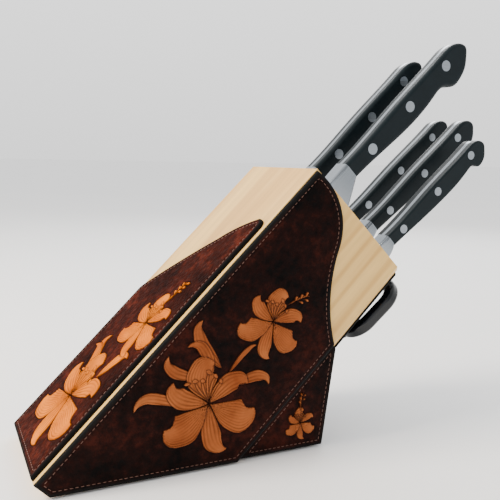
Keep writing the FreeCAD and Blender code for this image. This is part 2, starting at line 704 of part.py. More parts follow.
def make_shear_blade(name, hand):
    """Blade and tang of one half.  hand is +1 where the loop lies towards +Y."""
    body = new_body(name)
    sketch = new_sketch(body, "XY_Plane", hand * HALF_GAP)
    outline = []
    for place in SHEAR_BLADE:
        point = (str(place[0]), str(hand * place[1]))
        if len(place) == 3:
            point = point + ((str(place[2][0]), str(hand * place[2][1])),)
        outline.append(point)
    add_outline(sketch, outline)
    add_circle(sketch, "0", "0", str(SCREW_HOLE))
    pad = add_pad(body, sketch, dim("shears_steel"), both_ways=False)
    if hand * body.Shape.BoundBox.Center.z < 0:
        pad.Reversed = True
        doc.recompute()
    place_shears(body)


def stadium(sketch, hand, radius):
    """A long round loop about the two loop centres."""
    low = FreeCAD.Vector(LOOP_LOW[0], hand * LOOP_LOW[1], 0)
    high = FreeCAD.Vector(LOOP_HIGH[0], hand * LOOP_HIGH[1], 0)
    along = (high - low).normalize()
    across = FreeCAD.Vector(-along.y, along.x, 0)
    corners = [low + across * radius, low - across * radius, high - across * radius,
               high + across * radius]
    tips = {0: low - along * radius, 2: high + along * radius}
    outline = []
    for i, corner in enumerate(corners):
        point = (str(corner.x), str(corner.y))
        if i in tips:
            point = point + ((str(tips[i].x), str(tips[i].y)),)
        outline.append(point)
    add_outline(sketch, outline)


def make_shear_grip(name, hand):
    """Moulded finger loop, rounded all over, with the neck that holds the tang."""
    body = new_body(name)
    loop = new_sketch(body, "XY_Plane")
    stadium(loop, hand, LOOP_OUTER)
    add_pad(body, loop, dim("shears_grip"))
    hole = new_sketch(body, "XY_Plane")
    stadium(hole, hand, LOOP_INNER)
    before = body.Shape.Volume
    pocket = body.newObject("PartDesign::Pocket", name + "Hole")
    pocket.Profile = hole
    pocket.SideType = "Symmetric"
    pocket.setExpression("Length", dim("shears_grip") + " * 2")
    doc.recompute()
    if body.Shape.Volume > before - 1:
        raise RuntimeError("the finger hole took nothing off " + name)
    half = value(dim("shears_grip")) / 2
    rims = []
    for i, edge in enumerate(body.Tip.Shape.Edges, start=1):
        box = edge.BoundBox
        if box.ZLength < 0.01 and abs(abs(box.ZMin) - half) < 0.01:
            rims.append("Edge%d" % i)
    dress_edges(body, "Fillet", dim("loop_round"), rims)
    neck = new_sketch(body, "XY_Plane")
    add_outline(neck, [(str(x), str(hand * y)) for x, y in SHEAR_NECK])
    add_pad(body, neck, "%s - %s" % (dim("shears_grip"), NECK_STEP))
    place_shears(body)


def make_shear_screw():
    """Pivot screw: a shank through both halves and a low head on each side."""
    face = value(dim("shears_steel")) + HALF_GAP
    rest = face + HALF_GAP
    shank = doc.addObject("Part::Cylinder", "screw_shank")
    shank.Radius = SCREW_HOLE - SCREW_CLEAR
    shank.Height = 2 * rest + 2 * SINK
    shank.Placement.Base.z = -rest - SINK
    heads = []
    for name, low in (("screw_head", rest), ("screw_foot", -rest - SCREW_HEAD_HIGH)):
        head = doc.addObject("Part::Cylinder", name)
        head.Radius = SCREW_HEAD
        head.Height = SCREW_HEAD_HIGH
        head.Placement.Base.z = low
        heads.append(head)
    screw = doc.addObject("Part::MultiFuse", "shears_pivot_screw")
    screw.Shapes = [shank] + heads
    screw.Label = "shears_pivot_screw"
    doc.recompute()
    place_shears(screw)
    nodes.append(screw)


# ---------------------------------------------------------------- build, check, write
fill_sheet()
make_boards()
make_spacers()
make_foot()
make_base_pad()
make_side_panels()
make_foot_panels()
make_underside_panel()
make_foot_back_panels()
make_slope_panel()
for knife_name in KNIVES:
    make_blade(knife_name)
    make_scales(knife_name)
    make_rivets(knife_name)
make_shear_blade("shears_blade_far", 1)
make_shear_grip("shears_grip_far", 1)
make_shear_blade("shears_blade_near", -1)
make_shear_grip("shears_grip_near", -1)
make_shear_screw()
doc.recompute()

for item in doc.Objects:
    if "Invalid" in item.State or "Error" in item.State:
        raise RuntimeError("failed: %s %s" % (item.Label, item.State))
for node in nodes:
    if node.Shape.isNull() or not node.Shape.isValid() or node.Shape.Volume <= 0:
        raise RuntimeError("bad shape: " + node.Label)

os.makedirs("parts", exist_ok=True)
for node in nodes:
    node.Shape.exportStep("parts/%s.step" % node.Label)
    box = node.Shape.BoundBox
    print("%-26s %10.0f mm3  X %7.1f %7.1f  Y %6.1f %6.1f  Z %6.1f %6.1f" % (
        node.Label, node.Shape.Volume, box.XMin, box.XMax, box.YMin, box.YMax, box.ZMin, box.ZMax))
print(len(nodes), "nodes")
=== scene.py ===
"""Looks of a slanted knife block clad in tooled leather.  Metres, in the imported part's frame.

Wood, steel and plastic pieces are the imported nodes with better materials.  Every leather panel is
rebuilt as a dense sheet with rounded edges, tooled lilies and stitching, and replaces its node.
The lilies are a generic flower drawn by formula: six petals round a centre, leaves and stamens.
"""
import json
import math

import bpy
import numpy as np
from mathutils import Matrix, Vector
from mathutils.geometry import delaunay_2d_cdt


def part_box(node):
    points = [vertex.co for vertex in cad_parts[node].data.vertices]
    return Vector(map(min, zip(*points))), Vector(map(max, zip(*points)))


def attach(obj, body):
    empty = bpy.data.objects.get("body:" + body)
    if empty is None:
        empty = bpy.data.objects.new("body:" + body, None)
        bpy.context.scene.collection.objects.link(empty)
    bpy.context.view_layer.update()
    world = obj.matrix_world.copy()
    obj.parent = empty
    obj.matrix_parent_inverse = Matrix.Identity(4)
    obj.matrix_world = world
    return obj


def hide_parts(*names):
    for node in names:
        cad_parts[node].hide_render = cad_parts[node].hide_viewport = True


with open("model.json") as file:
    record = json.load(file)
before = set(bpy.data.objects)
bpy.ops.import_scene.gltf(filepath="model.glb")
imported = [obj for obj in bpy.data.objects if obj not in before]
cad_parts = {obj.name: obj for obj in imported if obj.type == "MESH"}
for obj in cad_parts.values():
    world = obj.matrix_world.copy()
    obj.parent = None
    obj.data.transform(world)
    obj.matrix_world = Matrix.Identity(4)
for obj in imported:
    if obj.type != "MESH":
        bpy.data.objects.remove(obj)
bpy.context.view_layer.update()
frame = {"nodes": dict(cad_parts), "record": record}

MM = 0.001
HALF = math.sqrt(0.5)
ALONG = np.array((HALF, 0.0, HALF))          # up the slope
UPWARD = np.array((-HALF, 0.0, HALF))        # square out of the slope
TOE = 10 * MM                                # square low end of the box
FOOT_LEAN = math.radians(8.7)                # how far the foot's back face leans out
GRAIN_LEAN = math.radians(45)                # the wood's grain and the blades' run up the slope

# ---------------------------------------------------------------- panels
EDGE_STEP = 0.8 * MM       # longest edge of a panel's outline
EDGE_ROUND = 1.3 * MM      # rounding of a panel's outer edge
FACE_SINK = 0.85 * MM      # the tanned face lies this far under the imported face
RINGS = (0.12, 0.35, 0.65, 1.0)   # rows of points down the rounded edge, as shares of it
STITCH_INSET = 3.4 * MM    # from the panel's edge
STITCH_PITCH = 3.0 * MM
STITCH_LONG = 1.998 * MM
STITCH_LEAST = 1.0 * MM    # a stitch that a corner makes shorter than this is left out
STITCH_THICK = 0.27 * MM   # the thread's radius
STITCH_LIFT = 0.35         # its centre above the groove's floor, as a share of its radius
STITCH_GROOVE = 0.28 * MM
STITCH_SIDES = 6
# Shares of the stitch's length, each with the share of the radius it has there.
STITCH_PROFILE = ((0.0, 0.15), (0.12, 0.8), (0.5, 1.0), (0.88, 0.8), (1.0, 0.15))
GROOVE_WIDE = 0.7 * MM
BURNISH_WIDE = 2.2 * MM
LEVEL_SLACK = 0.02 * MM    # how far from its plane a face's corner may be
INSET_LEAST = 0.97         # an inset point nearer to a side than this share of the inset goes
GRID_GAP = 0.4             # between the rounded edge and the grid, as a share of its spacing
MERGE = 1e-4               # points closer than this, in mm, become one when a sheet is meshed
FINE = 0.45 * MM           # grid of a tooled panel, fine enough for its carved lines
COARSE = 1.5 * MM          # grid of a plain panel
SHARP = math.radians(50)   # edges that turn more than this are not smoothed

# ---------------------------------------------------------------- tooling
PETAL_RISE = 0.78 * MM
# The halo round a petal: a carved groove, darkened with painted shadow.
HALO_DEEP = 0.50 * MM
HALO_WIDE = 0.70 * MM
HALO_REACH = 2.2 * MM
CURVE_STEPS = 140          # points along a petal's centre line
SOFT_EDGE = 0.22 * MM      # how quickly a petal rises at its edge
RIM_WIDE = 0.5 * MM        # the thickened edge of a petal
# Shares of PETAL_RISE, then how pale each part of a petal is, as painted highlight, and how dark,
# as painted shade, from 0 to 1.
RISE = {"flat": 0.38, "dome": 0.42, "rim": 0.16, "lines": 0.42, "ridges": 0.10}
PAINTED_HIGHLIGHT = {"flat": 0.22, "dome": 0.50, "rim": 0.35, "ridges": 0.40}
PAINTED_SHADE = {"lines": 0.80, "throat": 0.45}
THROAT_LONG = 0.10         # of the throat's painted shade, as a share of the petal's length
PETAL_FALL = 1.05          # how pointed a petal's tip is


def corner_of_slope():
    """The slope's low corner in the XZ plane: the zero of the block's along and deep."""
    low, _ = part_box("board_1")
    return np.array((low[0], 0.0, low[2] + TOE * HALF))


CORNER = corner_of_slope()


def border_of(faces):
    """The edges that only one face uses, each in its face's own direction."""
    pairs = [(a, b) for face in faces for a, b in zip(face, list(face[1:]) + [face[0]])]
    known = set(pairs)
    return [(a, b) for a, b in pairs if (b, a) not in known]


def walk(border):
    """The border's points in order, once round."""
    following = dict(border)
    order = [border[0][0]]
    while following[order[-1]] != order[0]:
        order.append(following[order[-1]])
    return order


class Panel:
    """A flat node seen square on: u and v lie in its plane and out points away from the wood."""

    def __init__(self, node, out, u):
        self.node = node
        self.out = np.array(out, float)
        self.u = np.array(u, float)
        self.v = np.cross(self.out, self.u)
        mesh = frame["nodes"][node].data
        points = np.array([tuple(vertex.co) for vertex in mesh.vertices])
        self.level = (points @ self.out).max()
        self.back = (points @ self.out).min()
        self.outline = self.loop_at(mesh, points, self.level)
        self.inner = self.loop_at(mesh, points, self.back)

    def flat(self, points):
        """Points as (u, v) from the slope's low corner."""
        offset = np.asarray(points) - CORNER
        return np.stack([offset @ self.u, offset @ self.v], axis=-1)

    def solid(self, flat, level):
        """The points that lie at (u, v) at these levels along out."""
        base = CORNER + self.out * (level - CORNER @ self.out)[..., None]
        return base + flat[..., :1] * self.u + flat[..., 1:] * self.v

    def loop_at(self, mesh, points, level):
        """The boundary of the faces that lie in the plane at this level, in flat coordinates."""
        keys = [tuple(np.round(point, 6)) for point in points]
        faces = []
        for polygon in mesh.polygons:
            corners = [keys[i] for i in polygon.vertices]
            if all(abs(np.dot(corner, self.out) - level) <= LEVEL_SLACK for corner in corners):
                faces.append(corners)
        loop = walk(border_of(faces))
        flat = self.flat(np.array(loop))
        x, y = flat[:, 0], flat[:, 1]
        area = np.sum(x * np.roll(y, -1) - np.roll(x, -1) * y)
        return flat if area > 0 else flat[::-1]


def resample(loop, step):
    """The closed loop with no edge longer than step, its own corners kept."""
    points = []
    for a, b in zip(loop, np.roll(loop, -1, axis=0)):
        parts = max(1, math.ceil(np.linalg.norm(b - a) / step))
        points += [a + (b - a) * i / parts for i in range(parts)]
    return np.array(points)


def nearest_on(points, loop):
    """For each point the nearest place on the loop, and how far it is."""
    best = np.full(len(points), np.inf)
    place = np.zeros((len(points), 2))
    for a, b in zip(loop, np.roll(loop, -1, axis=0)):
        run = b - a
        share = np.clip((points - a) @ run / max(run @ run, 1e-18), 0, 1)
        spot = a + share[:, None] * run
        far = np.linalg.norm(points - spot, axis=1)
        closer = far < best
        best[closer] = far[closer]
        place[closer] = spot[closer]
    return place, best


def is_inside(points, loop):
    """Which points the loop goes round."""
    inside = np.zeros(len(points), bool)
    for a, b in zip(loop, np.roll(loop, -1, axis=0)):
        crosses = (a[1] > points[:, 1]) != (b[1] > points[:, 1])
        if not crosses.any():
            continue
        x = a[0] + (points[:, 1] - a[1]) * (b[0] - a[0]) / (b[1] - a[1] + 1e-15)
        inside ^= crosses & (points[:, 0] < x)
    return inside


def inset_loop(loop, inset):
    """Points of the loop moved inwards, without those that come too near another side."""
    dense = resample(loop, EDGE_STEP)
    run = np.roll(dense, -1, axis=0) - dense
    run /= np.linalg.norm(run, axis=1)[:, None]
    mean = run + np.roll(run, 1, axis=0)
    mean /= np.linalg.norm(mean, axis=1)[:, None]
    inward = np.stack([-mean[:, 1], mean[:, 0]], axis=1)
    moved = dense + inward * inset
    _, far = nearest_on(moved, loop)
    return moved[far > inset * INSET_LEAST]


def hex_grid(loop, spacing):
    """Points in staggered rows over the loop's whole rectangle."""
    low, high = loop.min(axis=0), loop.max(axis=0)
    rows = []
    row_gap = spacing * math.sqrt(3) / 2
    for i, y in enumerate(np.arange(low[1], high[1], row_gap)):
        x = np.arange(low[0] + (i % 2) * spacing / 2, high[0], spacing)
        rows.append(np.stack([x, np.full_like(x, y)], axis=1))
    return np.concatenate(rows)


# ---------------------------------------------------------------- lilies
def leaf(base, tip, bend, width, peak=0.6, veins=5):
    """A petal or leaf: a bent centre line from base to tip with a half-width of width at peak."""
    return {"base": np.array(base, float) * MM, "tip": np.array(tip, float) * MM,
            "bend": bend * MM, "width": width * MM, "peak": peak, "veins": veins}


def lily(centre, reach, heading):
    """Six petals, three narrow ones behind three broad ones, then the stamens, back to front.

    The flower looks towards its heading, so the petals on that side are foreshortened.
    """
    pieces = []
    centre = np.array(centre, float)
    facing = math.radians(heading)
    axis = np.array((math.cos(facing), math.sin(facing)))
    side = np.array((-axis[1], axis[0]))

    def place(angle, far):
        turn = math.radians(angle)
        return centre + far * (axis * math.cos(turn) + side * math.sin(turn))

    for is_broad, angles in ((False, (62, 180, 298)), (True, (0, 236, 122))):
        for number, angle in enumerate(angles):
            far = reach * (0.98 - 0.12 * math.cos(math.radians(angle)))
            width = (0.35 if is_broad else 0.21) * reach
            turn = 15 if number % 2 else -15
            pieces.append(leaf(place(angle, 0.02 * reach), place(angle + turn, far),
                               -0.0095 * turn * reach, width, 0.56 if is_broad else 0.50,
                               11 if is_broad else 5))
    for number in range(6):
        angle = -38 + 15 * number
        far = (0.50 + 0.07 * (number % 3)) * reach
        pieces.append(leaf(place(angle * 0.4, 0.08 * reach), place(angle, far),
                           0.03 * reach, 0.016 * reach, 0.5, 0))
        pieces.append(leaf(place(angle - 4, far * 0.97), place(angle + 5, far * 1.10),
                           0.0, 0.034 * reach, 0.5, 0))
    return pieces


def bud_spray(base, tip, count, size):
    """Small buds on both sides of a thin stem."""
    base, tip = np.array(base, float), np.array(tip, float)
    run = tip - base
    side = np.array((-run[1], run[0])) / np.linalg.norm(run)
    pieces = [leaf(base, tip, 1.0, 0.45, 0.5, 0)]
    for number in range(count):
        start = base + run * (0.35 + 0.6 * number / count)
        out = side * size * (-1) ** number
        pieces.append(leaf(start, start + out + run / np.linalg.norm(run) * size, 0.4,
                           size * 0.26, 0.7, 0))
    return pieces


# Places on the near side and the foot are (along, minus deep), on the slope (along, across), mm.
ART = {
    "side_leather_near": (
        [leaf((112, -38), (125, -9), 4, 3.9, 0.45, 3),
         leaf((107, -36), (107, -13), -4, 3.2, 0.45, 3),
         leaf((100, -32), (97, -8), 4, 3.4, 0.5, 3),
         leaf((82, -38), (61, -15), -5, 3.2, 0.5, 3),
         leaf((110, -52), (124, -70), 4, 3.4, 0.45, 3),
         leaf((112, -44), (136, -46), 1.5, 1.5, 0.5, 0)]
        + lily((153, -44), 20.5, 25) + bud_spray((166, -44), (180, -52), 5, 2.6)
        + lily((92, -47), 28.5, 52)),
    "foot_leather_near": (
        lily((121, -108), 10.0, 45) + bud_spray((127, -102), (136, -96), 5, 1.8)),
    "slope_leather": (
        [leaf((60, 0), (84, 15), 5, 4.0, 0.45, 3),
         leaf((56, 8), (72, 26), -4, 3.4, 0.45, 3),
         leaf((60, -14), (80, -30), 4, 3.6, 0.45, 3)]
        + lily((103, -14), 22.5, 10) + bud_spray((120, -16), (137, -20), 6, 3.0)
        + lily((42, -2), 31, 5)),
}


def width_profile(share, peak):
    """Half-width along a petal as a share of its widest: narrow throat, pointed tip."""
    share = np.clip(share, 0, 1)
    rise = PETAL_FALL * peak / (1 - peak)
    widest = peak ** rise * (1 - peak) ** PETAL_FALL
    return share ** rise * (1 - share) ** PETAL_FALL / widest


def centre_line(piece):
    """Points along a petal's bent centre line, from its base to its curling tip."""
    base, tip = piece["base"], piece["tip"]
    run = tip - base
    normal = np.array((-run[1], run[0])) / np.linalg.norm(run)
    rising = base + 0.40 * run + normal * 1.2 * piece["bend"]
    curling = base + 0.92 * run + normal * 2.6 * piece["bend"]
    share = np.linspace(0, 1, CURVE_STEPS)[:, None]
    rest = 1 - share
    return (rest ** 3 * base + 3 * rest ** 2 * share * rising
            + 3 * rest * share ** 2 * curling + share ** 3 * tip)


def carved_lines(veins, along, q, sign):
    """Cut lines and the ridges between them, strong at the throat and near the petal's edge.

    q runs from 0 on the centre line to 1 at the edge.
    """
    if not veins:
        return np.zeros(len(along)), np.zeros(len(along))
    drift = 0.25 * np.sin(along * 9 + 2 * sign)
    wave = np.cos(2 * np.pi * (q * veins / 2 + drift * q))
    throat = np.exp(-(along / 0.50) ** 2)
    strokes = np.exp(-((1 - q) / 0.42) ** 2) * np.clip(2.2 * along - 0.7, 0, 1)
    strength = np.clip(throat + strokes, 0, 1)
    return np.clip(wave, 0, 1) ** 3 * strength, np.clip(-wave, 0, 1) ** 2 * strength


def press_leaf(flat, piece, relief):
    """Raise one petal or leaf out of the face, with a carved outline round it, darkened with
    painted shadow.
    """
    line = centre_line(piece)
    reach = piece["width"] + HALO_REACH
    near = np.all((flat > line.min(axis=0) - reach) & (flat < line.max(axis=0) + reach), axis=1)
    index = np.nonzero(near)[0]
    if not len(index):
        return
    offset = flat[index, None, :] - line[None]
    distance = np.linalg.norm(offset, axis=2)
    step = distance.argmin(axis=1)
    rows = np.arange(len(index))
    far = distance[rows, step]
    tangent = np.gradient(line, axis=0)[step]
    across = tangent[:, 0] * offset[rows, step, 1] - tangent[:, 1] * offset[rows, step, 0]
    sign = np.sign(across)
    along = step / (CURVE_STEPS - 1)
    ruffle = 1 + 0.07 * np.sin(along * 15 + 1.3 * sign) * np.clip((along - 0.35) * 3, 0, 1)
    half = piece["width"] * width_profile(along, piece["peak"]) * ruffle
    gap = far - half
    halo = (gap >= 0) & (gap < HALO_REACH)
    # Falloff of the halo: the depth of its groove and the strength of its painted shadow.
    shade = np.exp(-(gap / HALO_WIDE) ** 2)
    outside = index[halo]
    relief["height"][outside] -= (HALO_DEEP * shade * (1 - 0.5 * relief["petal"][index]))[halo]
    relief["dark"][outside] = np.maximum(relief["dark"][outside], shade[halo])

    body = gap < SOFT_EDGE
    within = index[body]
    cover = np.clip((SOFT_EDGE - gap[body]) / (2 * SOFT_EDGE), 0, 1)
    q = (far / np.maximum(half, 1e-9))[body]
    dome = np.sqrt(np.clip(1 - q ** 2, 0, 1))
    rim = np.exp(-((1 - q) * half[body] / RIM_WIDE) ** 2)
    along = along[body]
    lines, ridges = carved_lines(piece["veins"], along, q, sign[body])
    raised = PETAL_RISE * (RISE["flat"] + RISE["dome"] * dome + RISE["rim"] * rim
                           - RISE["lines"] * lines + RISE["ridges"] * ridges)
    # Painted shade in the cut lines and at the throat.
    throat = np.exp(-(along / THROAT_LONG) ** 2)
    shade = PAINTED_SHADE["lines"] * lines + PAINTED_SHADE["throat"] * throat
    # Tone: painted highlight on the dome, rim and ridges, painted shade towards the base.
    tone = (PAINTED_HIGHLIGHT["flat"] + PAINTED_HIGHLIGHT["dome"] * dome * along + PAINTED_HIGHLIGHT["rim"] * rim
            + PAINTED_HIGHLIGHT["ridges"] * ridges)
    for name, level in (("height", raised), ("petal", 1.0), ("dark", shade), ("tone", tone)):
        field = relief[name]
        field[within] = field[within] * (1 - cover) + level * cover


def carve(flat, art):
    """What every petal, leaf and bud together does to the face at these points."""
    # dark holds painted shade; tone holds painted highlight and shade.
    relief = {name: np.zeros(len(flat)) for name in ("height", "petal", "dark", "tone")}
    for piece in art:
        press_leaf(flat, piece, relief)
    return relief


# ---------------------------------------------------------------- meshes
def mesh_object(name, points, faces):
    """A new object in the scene, made of these points and faces."""
    mesh = bpy.data.meshes.new(name)
    mesh.from_pydata([tuple(point) for point in points], [], [tuple(face) for face in faces])
    mesh.validate()
    mesh.update()
    piece = bpy.data.objects.new(name, mesh)
    bpy.context.collection.objects.link(piece)
    return piece


def face_height(flat, loop, art):
    """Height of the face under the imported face, and what the material needs to know."""
    _, rim = nearest_on(flat, loop)
    relief = carve(flat, art)
    height = relief["height"] - FACE_SINK
    far = np.abs(rim - STITCH_INSET)
    height -= STITCH_GROOVE * np.exp(-(far / GROOVE_WIDE) ** 2) * (1 - relief["petal"])
    inward = np.clip(EDGE_ROUND - rim, 0, EDGE_ROUND)
    height -= EDGE_ROUND - np.sqrt(EDGE_ROUND ** 2 - inward ** 2)
    burnish = np.exp(-(rim / BURNISH_WIDE) ** 4)
    return height, relief["petal"], relief["dark"], burnish, relief["tone"]


def leather_panel(panel, spacing, art):
    """A dense sheet over the panel's outline, closed at its edge and back."""
    loop = panel.outline
    rim = resample(loop, EDGE_STEP)
    grid = hex_grid(loop, spacing)
    grid = grid[is_inside(grid, loop)]
    _, far = nearest_on(grid, loop)
    grid = grid[far > EDGE_ROUND + GRID_GAP * spacing]
    rings = [inset_loop(loop, EDGE_ROUND * share) for share in RINGS]
    flat = np.concatenate([rim] + rings + [grid])
    edges = [(i, (i + 1) % len(rim)) for i in range(len(rim))]
    coords = [Vector(point / MM) for point in flat]
    outline = [list(range(len(rim)))]
    inside_only = 1
    made, _, faces, _, _, _ = delaunay_2d_cdt(coords, edges, outline, inside_only, MERGE)
    made = np.array([tuple(point) for point in made]) * MM
    height, *marks = face_height(made, loop, art)
    top = panel.solid(made, panel.level + height)

    border = border_of(faces)
    names = sorted({a for a, _ in border})
    at_back = {name: len(top) + i for i, name in enumerate(names)}
    nearest, _ = nearest_on(made[names], panel.inner)
    back = panel.solid(nearest, np.full(len(nearest), panel.back))
    all_faces = [tuple(face) for face in faces]
    all_faces += [(b, a, at_back[a], at_back[b]) for a, b in border]
    all_faces.append(tuple(at_back[name] for name in reversed(walk(border))))
    piece = mesh_object(panel.node + "_sheet", np.concatenate([top, back]), all_faces)
    mark_tooling(piece, marks, len(back))
    piece.data.shade_smooth()
    piece.data.set_sharp_from_angle(angle=SHARP)
    return piece


def mark_tooling(piece, marks, back_count):
    """Store petal, dark (painted shade), burnish and tone (painted highlight and shade) for the
    leather's material; the back is burnished.
    """
    on_back = (0.0, 0.0, 1.0, 1.0)
    values = np.stack([np.concatenate([mark, np.full(back_count, level)])
                       for mark, level in zip(marks, on_back)], axis=1)
    tooling = piece.data.color_attributes.new("tooling", "FLOAT_COLOR", "POINT")
    tooling.data.foreach_set("color", values.astype(np.float32).ravel())


def stitch_line(loop):
    """Where each stitch starts and ends, evenly spaced along the inset loop."""
    path = inset_loop(loop, STITCH_INSET)
    closed = np.vstack([path, path[:1]])
    run = np.linalg.norm(np.diff(closed, axis=0), axis=1)
    total = np.concatenate([[0], np.cumsum(run)])
    count = int(total[-1] / STITCH_PITCH)
    places = np.arange(count) * total[-1] / count

    def at(distance):
        return np.stack([np.interp(distance, total, closed[:, i]) for i in (0, 1)], axis=1)

    return at(places), at(places + STITCH_LONG)


def stitches(panel):
    """Thread that shows between the holes: a short round-ended bulge for each stitch."""
    starts, ends = stitch_line(panel.outline)
    sides, profile = STITCH_SIDES, STITCH_PROFILE
    points, faces = [], []
    level = panel.level - FACE_SINK - STITCH_GROOVE + STITCH_THICK * STITCH_LIFT
    for start, end in zip(starts, ends):
        run = end - start
        length = np.linalg.norm(run)
        if length < STITCH_LEAST:
            continue
        side = np.array((-run[1], run[0])) / length
        first = len(points)
        for share, fat in profile:
            middle = start + run * share
            for i in range(sides):
                turn = 2 * math.pi * i / sides
                spot = middle + side * math.cos(turn) * STITCH_THICK * fat
                lift = math.sin(turn) * STITCH_THICK * fat
                points.append(panel.solid(spot, np.array(level + lift)))
        for ring in range(len(profile) - 1):
            for i in range(sides):
                a = first + ring * sides + i
                b = first + ring * sides + (i + 1) % sides
                faces.append((a, b, b + sides, a + sides))
        faces.append(tuple(first + i for i in reversed(range(sides))))
        last = first + (len(profile) - 1) * sides
        faces.append(tuple(last + i for i in range(sides)))
    piece = mesh_object(panel.node + "_stitches", points, faces)
    piece.data.shade_smooth()
    return piece


# ---------------------------------------------------------------- materials
class Look:
    """A node-based material with small helpers for the nodes used here.

    Its coordinates are the object's own in metres: noise or cells of scale 100 are about 10 mm
    apart.
    """

    def __init__(self, name):
        self.material = bpy.data.materials.new(name)
        self.material.use_nodes = True
        self.tree = self.material.node_tree
        self.shader = self.tree.nodes["Principled BSDF"]
        self.place = self.tree.nodes.new("ShaderNodeTexCoord").outputs["Object"]

    def set(self, **values):
        for name, number in values.items():
            self.shader.inputs[name.replace("_", " ")].default_value = number

    def link(self, output, socket):
        self.tree.links.new(output, self.shader.inputs[socket])

    def node(self, kind, inputs=(), **settings):
        made = self.tree.nodes.new("ShaderNode" + kind)
        for key, setting in settings.items():
            setattr(made, key, setting)
        for key, entry in dict(inputs).items():
            if hasattr(entry, "is_output"):
                self.tree.links.new(entry, made.inputs[key])
            else:
                made.inputs[key].default_value = entry
        return made

    def mapped(self, scale, turn=(0, 0, 0)):
        """The object's coordinates, turned and then stretched along the turned axes."""
        turned = self.node("Mapping", {"Vector": self.place, "Rotation": turn}).outputs["Vector"]
        return self.node("Mapping", {"Vector": turned, "Scale": scale}).outputs["Vector"]

    def noise(self, vector, scale, detail=4.0, rough=0.55):
        return self.node("TexNoise", {"Vector": vector, "Scale": scale, "Detail": detail,
                                      "Roughness": rough}).outputs["Fac"]

    def ramp(self, factor, *stops):
        made = self.node("ValToRGB", {"Fac": factor})
        ramp = made.color_ramp
        while len(ramp.elements) < len(stops):
            ramp.elements.new(0.5)
        for element, (place, colour) in zip(ramp.elements, stops):
            element.position = place
            element.color = tuple(colour) + (1.0,)
        return made.outputs["Color"]

    def mix(self, factor, a, b, blend="MIX"):
        made = self.node("Mix", data_type="RGBA", blend_type=blend)
        for socket, entry in ((made.inputs[0], factor), (made.inputs[6], a), (made.inputs[7], b)):
            if hasattr(entry, "is_output"):
                self.tree.links.new(entry, socket)
            elif isinstance(entry, tuple):
                socket.default_value = entry + (1.0,)
            else:
                socket.default_value = entry
        return made.outputs[2]

    def bump(self, height, strength, distance):
        made = self.node("Bump", {"Height": height, "Strength": strength, "Distance": distance})
        self.link(made.outputs["Normal"], "Normal")


PAINTED_SHADE_COLOUR = (0.012, 0.005, 0.004)   # painted shade: in the cuts, at the throats and close round the petals
BURNISHED = (0.006, 0.006, 0.006)     # at a panel's edge and back


def leather_look(name, dark, warm, petal_colour, shine):
    """Dyed hide from dark to warm in patches, with paler petals where the tooling says so; painted
    highlight and shade on the petals, painted shade in the cuts and round them.
    """
    look = Look(name)
    tooling = look.node("Attribute", attribute_name="tooling")
    tone = tooling.outputs["Alpha"]
    parts = look.node("SeparateColor", {"Color": tooling.outputs["Color"]})
    petal, shade, burnish = (parts.outputs[i] for i in range(3))
    patches = look.noise(look.place, 24, 3, 0.55)
    flecks = look.noise(look.place, 190, 5, 0.70)
    mottle = look.mix(0.45, patches, flecks)
    between = tuple(0.75 * d + 0.25 * w for d, w in zip(dark, warm))
    hide = look.ramp(mottle, (0.40, dark), (0.52, between), (0.64, warm))
    brushing = look.noise(look.place, 120, 5, 0.6)
    petals = look.ramp(brushing, (0.3, tuple(0.78 * c for c in petal_colour)), (0.7, petal_colour))
    clouds = look.ramp(look.noise(look.place, 34, 4, 0.6), (0.35, (0.66, 0.55, 0.50)),
                       (0.60, (1.0, 1.0, 1.0)))
    petals = look.mix(1.0, petals, clouds, "MULTIPLY")
    # A shaded copy of the petal colour; tone mixes from it to the petal colour: painted shade at a
    # petal's base, painted highlight on its dome, rim and ridges.
    shaded_petals = look.mix(1.0, petals, (0.50, 0.38, 0.30), "MULTIPLY")
    colour = look.mix(petal, hide, look.mix(tone, shaded_petals, petals))
    # Painted shade in the cuts, at the throats and round the petals.
    colour = look.mix(shade, colour, PAINTED_SHADE_COLOUR)
    colour = look.mix(burnish, colour, BURNISHED)
    look.link(colour, "Base Color")
    rough = look.ramp(look.noise(look.place, 260, 3), (0.3, (0.46,) * 3), (0.7, (0.66,) * 3))
    look.link(rough, "Roughness")
    look.set(Specular_IOR_Level=shine)
    pebbles = look.node("TexVoronoi", {"Vector": look.place, "Scale": 520.0}, feature="F1")
    crinkle = look.noise(look.place, 420, 6, 0.65)
    height = look.mix(0.55, pebbles.outputs["Distance"], crinkle)
    smooth = look.mix(petal, height, look.mix(0.88, height, (0.5, 0.5, 0.5)))
    look.bump(smooth, 0.85, 0.5 * MM)
    return look.material


def wood_look(name):
    """Pale hardwood, its grain and growth lines running up the slope."""
    look = Look(name)
    lean = (0.0, GRAIN_LEAN, 0.0)
    grain = look.noise(look.mapped((7, 90, 90), lean), 1.0, 6, 0.6)
    growth = look.node("TexWave", {"Vector": look.mapped((2.5, 26, 26), lean), "Scale": 1.0,
                                   "Distortion": 5.0, "Detail": 3.0, "Detail Scale": 1.4},
                       bands_direction="Z").outputs["Fac"]
    tone = look.ramp(grain, (0.30, (0.64, 0.375, 0.100)), (0.70, (0.84, 0.540, 0.170)))
    lines = look.ramp(growth, (0.0, (0.80, 0.70, 0.58)), (0.30, (1.0, 1.0, 1.0)))
    look.link(look.mix(0.75, tone, lines, "MULTIPLY"), "Base Color")
    look.link(look.ramp(grain, (0.2, (0.42,) * 3), (0.8, (0.56,) * 3)), "Roughness")
    look.bump(look.noise(look.mapped((30, 900, 900), lean), 1.0, 3), 0.18, 0.12 * MM)
    return look.material


